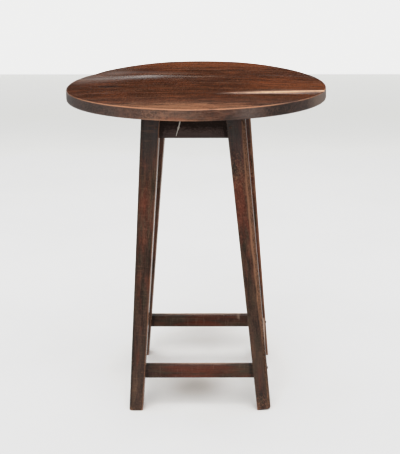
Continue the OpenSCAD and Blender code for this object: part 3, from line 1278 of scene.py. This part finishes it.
@dataclass(frozen=True)
class Pegs:
    """The pegs of the rails or of the stretchers, whittled and driven in by hand."""

    stance: Stance
    finish: OakFinish
    bar: Bar
    name: str
    tenon: float
    diameter: float
    heights: tuple[float, ...]
    past: float = 0.003
    proud_side: float = 0.0015
    proud_face: float = 0.0002
    steepest: float = 58 / 677
    tenon_gap: float = 0.002
    facets: int = 10

    @property
    def tenon_far(self) -> float:
        """Distance from a bar's outer face to the far side of its tenon."""
        return (self.bar.thickness + self.tenon) / 2

    @property
    def tenon_length(self) -> float:
        """Length of a tenon."""
        lean = self.steepest * (self.bar.high - self.bar.low)
        return self.stance.width(self.bar.low) - self.bar.set_back - lean - self.tenon_far - self.tenon_gap

    def peg(self, piece: Workpiece, inner: Vector, outer: Vector, spin: float) -> None:
        """Adds one peg.

        Args:
            piece: The pegs so far.
            inner: Middle of its inner end.
            outer: Middle of its head.
            spin: How far it is turned about its own line.
        """
        before = set(piece.bm.edges)
        points = piece.rod(inner, outer, (self.diameter * 0.44, self.diameter * 0.5), self.facets, spin)
        head = {v for v in points if (v.co - outer).length < self.diameter * 0.52}
        rim = [e for e in piece.bm.edges if e not in before and set(e.verts) <= head]
        piece.soften(rim, self.diameter * 0.16, 3)

    def build(self) -> None:
        """Makes all the pegs of one kind of bar."""
        stance, bar = self.stance, self.bar
        piece = Workpiece(f"{self.name}_worn")
        middle = self.tenon_length / 2
        depth = self.tenon_far + self.past
        for end, side, z in product(End, Side, self.heights):
            x = side.value * (stance.inner_x(side, end, z) + middle)
            inner = end.value * (stance.face_y(bar) - depth)
            outer = end.value * (stance.outer_y(z) + self.proud_face)
            spin = 5 * x + 3 * z
            self.peg(piece, Vector((x, inner, z)), Vector((x, outer, z)), spin)
            y = end.value * (stance.inner_y(z) + middle)
            inner = side.value * (stance.face_x(side, bar, y) - depth)
            outer = side.value * (stance.outer_x(side, end, z) + self.proud_side)
            self.peg(piece, Vector((inner, y, z)), Vector((outer, y, z)), spin)
        piece.paint(wear=lambda place, normal: 0.1, grime=lambda place, normal: 0.12)
        material = self.finish.material(f"{self.name}_oak", Way.DEEP.line, Vector(), 51 + len(self.name))
        piece.stand(material, "peg_wood", self.name)


@dataclass(frozen=True)
class GlueBlocks:
    """Four blocks in the angles between the rails and the top."""

    stance: Stance
    finish: OakFinish
    rail: Bar
    length: float = 0.06
    size: float = 0.018
    gap: float = 0.0003
    broken: float = 0.0012
    planed: float = 0.0003

    def block(self, piece: Workpiece, middle: Vector, size: Sequence[float], turn: float) -> None:
        """Adds one block with sawn, slightly broken edges.

        Args:
            piece: The blocks so far.
            middle: Its middle.
            size: Its length along each axis.
            turn: How far it is turned about Z.
        """
        before = set(piece.bm.edges)
        place = Matrix.Translation(middle) @ Matrix.Rotation(turn, 4, "Z") @ Matrix.Diagonal((*size, 1))
        bmesh.ops.create_cube(piece.bm, size=1, matrix=place)
        piece.soften([e for e in piece.bm.edges if e not in before], self.broken, 2)

    def build(self) -> None:
        """Makes the blocks as one piece."""
        stance, rail, size = self.stance, self.rail, self.size
        piece = Workpiece("top_blocks_worn")
        z = stance.underside - self.gap - size / 2
        behind = rail.thickness + size / 2
        for end in End:
            y = end.value * (stance.face_y(rail) - behind)
            self.block(piece, Vector((0, y, z)), (self.length, size, size), 0.0)
        span = stance.outer_y(rail.high)
        for side in Side:
            x = side.value * (stance.face_x(side, rail, 0) - behind)
            turn = math.atan2(stance.face_x(side, rail, span) - stance.face_x(side, rail, -span), 2 * span)
            self.block(piece, Vector((x, 0, z)), (size, self.length, size), -side.value * turn)
        piece.paint(grime=lambda place, normal: 0.25)
        piece.move(hand_planed(4.0, Way.ACROSS.line, self.planed))
        material = self.finish.material("glue_block_oak", Way.ACROSS.line, Vector((0, 0.02, 0.6)), 71.0)
        piece.stand(material, "block_wood", "top_blocks")


@dataclass(frozen=True)
class RailDrip:
    """A thin dried drip down the face of the front rail, with a knot in it."""

    finish: DripFinish
    face: float = -0.1081
    run: tuple[tuple[float, float, float], ...] = (
        (-0.0300, 0.6440, 0.0008),
        (-0.0308, 0.6385, 0.0012),
        (-0.0322, 0.6325, 0.0009),
        (-0.0332, 0.6290, 0.0013),
        (-0.0340, 0.6262, 0.0020),
        (-0.0346, 0.6235, 0.0014),
        (-0.0362, 0.6190, 0.0007),
        (-0.0380, 0.6130, 0.0007),
        (-0.0392, 0.6085, 0.0004),
    )

    def build(self) -> None:
        """Makes the drip as a tapering strand, then a mesh."""
        curve = bpy.data.curves.new("rail_drip", "CURVE")
        curve.dimensions = "3D"
        curve.bevel_depth = 1.0
        curve.bevel_resolution = 3
        curve.use_fill_caps = True
        strand = curve.splines.new("POLY")
        strand.points.add(len(self.run) - 1)
        for point, (x, z, radius) in zip(strand.points, self.run):
            point.co = (x, self.face, z, 1)
            point.radius = radius
        holder = bpy.data.objects.new("rail_drip_curve", curve)
        mesh = bpy.data.meshes.new_from_object(holder)
        bpy.data.objects.remove(holder)
        piece = Workpiece("rail_drip")
        piece.bm.from_mesh(mesh)
        bmesh.ops.remove_doubles(piece.bm, verts=piece.bm.verts, dist=1e-6)
        piece.stand(self.finish.material("dried_drip"), "rail_wood")


# Studio


@dataclass(frozen=True)
class Lamp:
    """A far, soft lamp: its strength, and in degrees its tilt, its turn and its spread."""

    name: str
    strength: float
    tilt: float
    turn: float
    spread: float

    def build(self) -> None:
        """Hangs the lamp."""
        lamp = bpy.data.lights.new(self.name, "SUN")
        lamp.energy = self.strength
        lamp.angle = math.radians(self.spread)
        holder = bpy.data.objects.new(self.name, lamp)
        holder.rotation_euler = (math.radians(self.tilt), math.radians(self.turn), 0)
        bpy.context.scene.collection.objects.link(holder)


@dataclass(frozen=True)
class Studio:
    """Pale floor and wall, soft light, and the camera of the photograph."""

    floor: Colour = shade(231, 230, 228)
    floor_far: Colour = shade(172, 172, 170)
    # colour of the painted shadows under the table
    floor_shadow: Colour = shade(112, 98, 84)
    floor_half: float = 16.0
    wall: Colour = shade(252, 252, 250)
    wall_high: Colour = (0.55, 0.55, 0.54, 1.0)
    wall_light: float = 2.0
    wall_half: float = 8.0
    wall_distance: float = 4.0
    wall_height: float = 1.05
    black: Colour = (0.0, 0.0, 0.0, 1.0)
    eye: tuple[float, float, float] = (0.1113, -2.3016, 1.1312)
    pitch: float = 18.482
    yaw: float = 0.20566
    focal_pixels: float = 1083.2
    centre_pixels: Span = (252.56, 232.23)
    image: tuple[int, int] = (400, 454)
    sensor: float = 36.0
    farthest: float = 60.0
    ceiling: float = 1.43
    front: float = 0.9
    sides: float = 0.15
    dimmest: float = 0.01
    lamps: tuple[Lamp, ...] = (
        Lamp("overhead", 0.5, -0.6, -1.2, 50.0),
        Lamp("ahead_of_the_table", 0.85, 20.0, 1.0, 40.0),
        Lamp("from_the_front", 0.8, 55.0, -8.0, 50.0),
    )
    # painted shadows under the table: their x, then the y, reach and strength of each
    painted_shadow_x: float = -0.015
    painted_shadows: tuple[tuple[float, float, float], ...] = ((-0.03, 0.11, 1.0), (0.25, 0.15, 0.5))
    brightest: float = 2.0
    shoulder: tuple[Span, ...] = (
        (0.50, 0.50),
        (0.65, 0.62),
        (0.80, 0.71),
        (0.95, 0.765),
        (1.15, 0.79),
        (1.5, 0.815),
    )
    shoulder_top: float = 0.862

    def camera(self) -> None:
        """Stands the camera where the photograph was taken from."""
        data = bpy.data.cameras.new("camera")
        wide, high = self.image
        data.sensor_fit = "HORIZONTAL"
        data.sensor_width = self.sensor
        data.lens = self.focal_pixels / wide * self.sensor
        data.shift_x = (wide / 2 - self.centre_pixels[0]) / wide
        data.shift_y = (self.centre_pixels[1] - high / 2) / wide
        data.clip_end = self.farthest
        camera = bpy.data.objects.new("camera", data)
        camera.location = self.eye
        camera.rotation_euler = (math.radians(90 - self.pitch), 0, math.radians(-self.yaw))
        bpy.context.scene.collection.objects.link(camera)
        bpy.context.scene.camera = camera

    def sheet(self, name: str, matrix: Matrix, size: Span, material: bpy.types.Material) -> None:
        """Stands one flat sheet of the setting.

        Args:
            name: Its name.
            matrix: Its place.
            size: Its two half lengths.
            material: Its finish.
        """
        bm = bmesh.new()
        bmesh.ops.create_grid(bm, x_segments=8, y_segments=8, size=1)
        bmesh.ops.transform(bm, matrix=matrix @ Matrix.Diagonal((*size, 1, 1)), verts=bm.verts)
        mesh = bpy.data.meshes.new(name)
        bm.to_mesh(mesh)
        bm.free()
        mesh.materials.append(material)
        sheet = bpy.data.objects.new(name, mesh)
        bpy.context.scene.collection.objects.link(sheet)

    def pale_floor(self) -> bpy.types.Material:
        """Makes the floor's finish, greyer far away, with painted shadows under the table.

        Returns:
            The material.
        """
        material = bpy.data.materials.new("pale_floor")
        recipe = Recipe(material)
        place = recipe.node("ShaderNodeTexCoord", output="Object")
        clouds = recipe.noise(place, 4.0, scale=2.2)
        colour = recipe.mix(self.floor, self.floor_far, recipe.parts(place)[1].rise(0.5, 3.0))
        colour = recipe.mix(colour, self.floor_far, clouds.rise(0.35, 0.75) * 0.25)
        # painted shadows under the table
        for y, reach, amount in self.painted_shadows:
            ends = {0: place, 1: (self.painted_shadow_x, y, 0)}
            off = recipe.node("ShaderNodeVectorMath", {"operation": "DISTANCE"}, ends, "Value")
            colour = recipe.mix(colour, self.floor_shadow, off.rise(reach, 0.0) * clouds * amount)
        recipe.surface({"Base Color": colour, "Roughness": 0.8, "Specular IOR Level": 0.1})
        return material

    def pale_wall(self) -> bpy.types.Material:
        """Makes the finish of the wall, which glows with its own light: bright low down, dimmer higher up,
        and fading to black at its upper edge.

        Returns:
            The material.
        """
        material = bpy.data.materials.new("pale_wall")
        recipe = Recipe(material)
        height = recipe.parts(recipe.node("ShaderNodeTexCoord", output="Object"))[2]
        glow = recipe.mix(self.wall, self.wall_high, height.rise(0.45, 0.72))
        glow = recipe.mix(glow, self.black, height.rise(self.wall_height - 0.08, self.wall_height))
        lit = {"Emission Color": glow, "Emission Strength": self.wall_light}
        recipe.surface({"Base Color": self.black, "Specular IOR Level": 0.0, **lit})
        return material

    def setting(self) -> None:
        """Lays the floor and stands the wall."""
        self.sheet("floor", Matrix.Identity(4), (self.floor_half, self.floor_half), self.pale_floor())
        half = self.wall_height / 2
        turned = Matrix.Rotation(math.radians(90), 4, "X")
        standing = Matrix.Translation((0, self.wall_distance, half)) @ turned
        self.sheet("wall", standing, (self.wall_half, half), self.pale_wall())

    def light(self) -> None:
        """Fills the studio with soft light from above and in front, dim behind the wall."""
        world = bpy.data.worlds.new("studio")
        bpy.context.scene.world = world
        recipe = Recipe(world)
        x, y, z = recipe.parts(recipe.node("ShaderNodeTexCoord", output="Generated"))
        above = z.rise(0.25, 0.8) * self.ceiling
        ahead = (0 - y).rise(0.15, 0.9) * z.rise(-0.05, 0.25) * self.front
        beside = (x * x).rise(0.3, 0.95) * z.rise(-0.05, 0.3) * self.sides
        values = {"Color": (1, 1, 1, 1), "Strength": above + ahead + beside + self.dimmest}
        recipe.close(recipe.node("ShaderNodeBackground", {}, values), "ShaderNodeOutputWorld")
        for lamp in self.lamps:
            lamp.build()

    def exposure(self) -> None:
        """Lets the pale floor and wall burn out gently, as they do in the photograph."""
        view = bpy.context.scene.view_settings
        view.view_transform = "Standard"
        view.look = "None"
        view.use_curve_mapping = True
        curves = view.curve_mapping
        curves.white_level = (self.brightest,) * 3
        combined = curves.curves[3]
        for place, value in self.shoulder:
            combined.points.new(place / self.brightest, value)
        ends = combined.points
        ends[0].location = (0, 0)
        ends[len(ends) - 1].location = (1, self.shoulder_top)
        for point in combined.points:
            point.handle_type = "VECTOR"
        curves.update()

    def build(self) -> None:
        """Sets up the whole studio."""
        self.camera()
        self.setting()
        self.light()
        self.exposure()


# The table

# near-black for soiling and for painted shade
GRIME_AND_SHADE = shade(16, 10, 7)
DUST = shade(66, 58, 53)
TOP_OAK = OakFinish(
    dark=shade(40, 21, 12),
    middle=shade(69, 36, 21),
    light=shade(106, 70, 50),
    warm=shade(118, 64, 37),
    worn=shade(162, 114, 84),
    cool=shade(58, 36, 20),
    grime=GRIME_AND_SHADE,
    # this grey also gives the painted sheen over the hollow at the left
    dust=shade(92, 80, 74),
    figure=0.5,
    banded=0.5,
    mottled=1.2,
    rays=0.5,
    roughness=0.11,
    specular=0.2,
    relief=0.00002,
    uneven=0.3,
)
LEG_OAK = OakFinish(
    dark=shade(39, 27, 21),
    middle=shade(60, 42, 33),
    light=shade(79, 57, 43),
    warm=shade(88, 45, 32),
    worn=shade(134, 94, 70),
    grime=GRIME_AND_SHADE,
    dust=shade(56, 53, 53),
    mottled=1.5,
    roughness=0.22,
    specular=0.07,
)
RAIL_OAK = OakFinish(
    dark=shade(34, 24, 21),
    middle=shade(56, 43, 38),
    light=shade(70, 54, 47),
    warm=shade(70, 43, 33),
    worn=shade(108, 82, 68),
    grime=shade(18, 7, 3),
    dust=shade(70, 57, 55),
    roughness=0.36,
    specular=0.05,
    relief=0.00002,
)
STRETCHER_OAK = OakFinish(
    dark=shade(34, 24, 19),
    middle=shade(53, 38, 29),
    light=shade(69, 50, 37),
    warm=shade(80, 39, 26),
    worn=shade(156, 128, 110),
    grime=GRIME_AND_SHADE,
    dust=DUST,
    roughness=0.28,
    specular=0.12,
)
PEG_OAK = OakFinish(
    dark=shade(36, 25, 19),
    middle=shade(58, 39, 30),
    light=shade(76, 53, 38),
    warm=shade(74, 44, 31),
    worn=shade(116, 84, 62),
    grime=GRIME_AND_SHADE,
    dust=DUST,
    specular=0.12,
)
BLOCK_OAK = OakFinish(
    dark=shade(70, 52, 39),
    middle=shade(104, 80, 60),
    light=shade(124, 98, 74),
    warm=shade(108, 73, 48),
    worn=shade(136, 110, 86),
    grime=shade(36, 26, 20),
    dust=DUST,
    roughness=0.7,
    specular=0.1,
)
RAIL = Bar(0.604, 0.677, 0.020, 0.0015)
STRETCHER = Bar(0.0755, 0.1035, 0.017, 0.002)


def worn_legs(stance: Stance) -> tuple[Leg, ...]:
    """Describes the four legs, each as it has worn.

    Args:
        stance: Where they stand.

    Returns:
        The legs, in the order that they are built in.
    """
    return (
        Leg(
            stance,
            LEG_OAK,
            Side.LEFT,
            End.FRONT,
            flat_top=0.0035,
            redness=lambda z: 0.12 * near(z - 0.42, 0.06) - 0.25 * blend(0.3, 0.15, z),
            scuffed=lambda z: (
                0.2 + 0.15 * blend(0.06, 0.01, z) - 0.1 * near(z - 0.49, 0.05) - 0.1 * near(z - 0.14, 0.05)
            ),
            seed=1,
        ),
        Leg(
            stance,
            LEG_OAK,
            Side.RIGHT,
            End.FRONT,
            flat_top=0.0068,
            worn_corner=0.007,
            redness=lambda z: (
                0.35 * near(z - 0.5, 0.11) + 0.25 * near(z - 0.6, 0.04) - 0.15 * near(z - 0.2, 0.12)
            ),
            scuffed=lambda z: (
                0.4 * near(z - 0.545, 0.065) + 0.3 * near(z - 0.42, 0.1) + 0.5 * blend(0.09, 0.01, z)
            ),
            rubbed_arris=0.85,
            matt=0.12,
            seed=2,
        ),
        Leg(stance, LEG_OAK, Side.LEFT, End.BACK, seed=3),
        Leg(
            stance,
            LEG_OAK,
            Side.RIGHT,
            End.BACK,
            redness=lambda z: 0.4 * blend(0.1, 0.3, z) + 0.4 * near(z - 0.48, 0.08),
            scuffed=lambda z: 0.52 * near(z - 0.48, 0.07),
            rubbed=0.3,
            matt=0.22,
            seed=4,
        ),
    )


def main() -> None:
    """Builds the table and its setting."""
    logging.basicConfig(level=logging.INFO, format="%(name)s: %(message)s")
    Studio().build()
    stance = Stance()
    RoundTop(TOP_OAK).build()
    for leg in worn_legs(stance):
        leg.build()
    for number, place in enumerate((End.FRONT, End.BACK, Side.LEFT, Side.RIGHT)):
        LevelBar(
            stance,
            RAIL_OAK,
            RAIL,
            "rail",
            "rail_wood",
            place,
            # painted shade under the top, at full strength on every rail
            shade_under_top=1.0,
            dusty=0.8,
            polished=0.5 if place is Side.RIGHT else 0.0,
            seed=number,
        ).build()
        LevelBar(
            stance,
            STRETCHER_OAK,
            STRETCHER,
            "stretcher",
            "stretcher_wood",
            place,
            # strength of the worn wood and painted highlight on each stretcher's upper rear arris
            rubbed=1.6 if place is End.BACK else 1.25,
            warm_middle=0.5,
            bleached=0.45 if place is Side.RIGHT else 0.0,
            chip=0.085 if place is End.BACK else None,
            seed=10 + number,
        ).build()
    Pegs(stance, PEG_OAK, RAIL, "rail_pegs", 0.009, 0.0065, (0.627, 0.654)).build()
    Pegs(stance, PEG_OAK, STRETCHER, "stretcher_pegs", 0.007, 0.0055, (0.0895,)).build()
    GlueBlocks(stance, BLOCK_OAK, RAIL).build()
    RailDrip(DripFinish()).build()


if __name__ == "__main__":
    main()
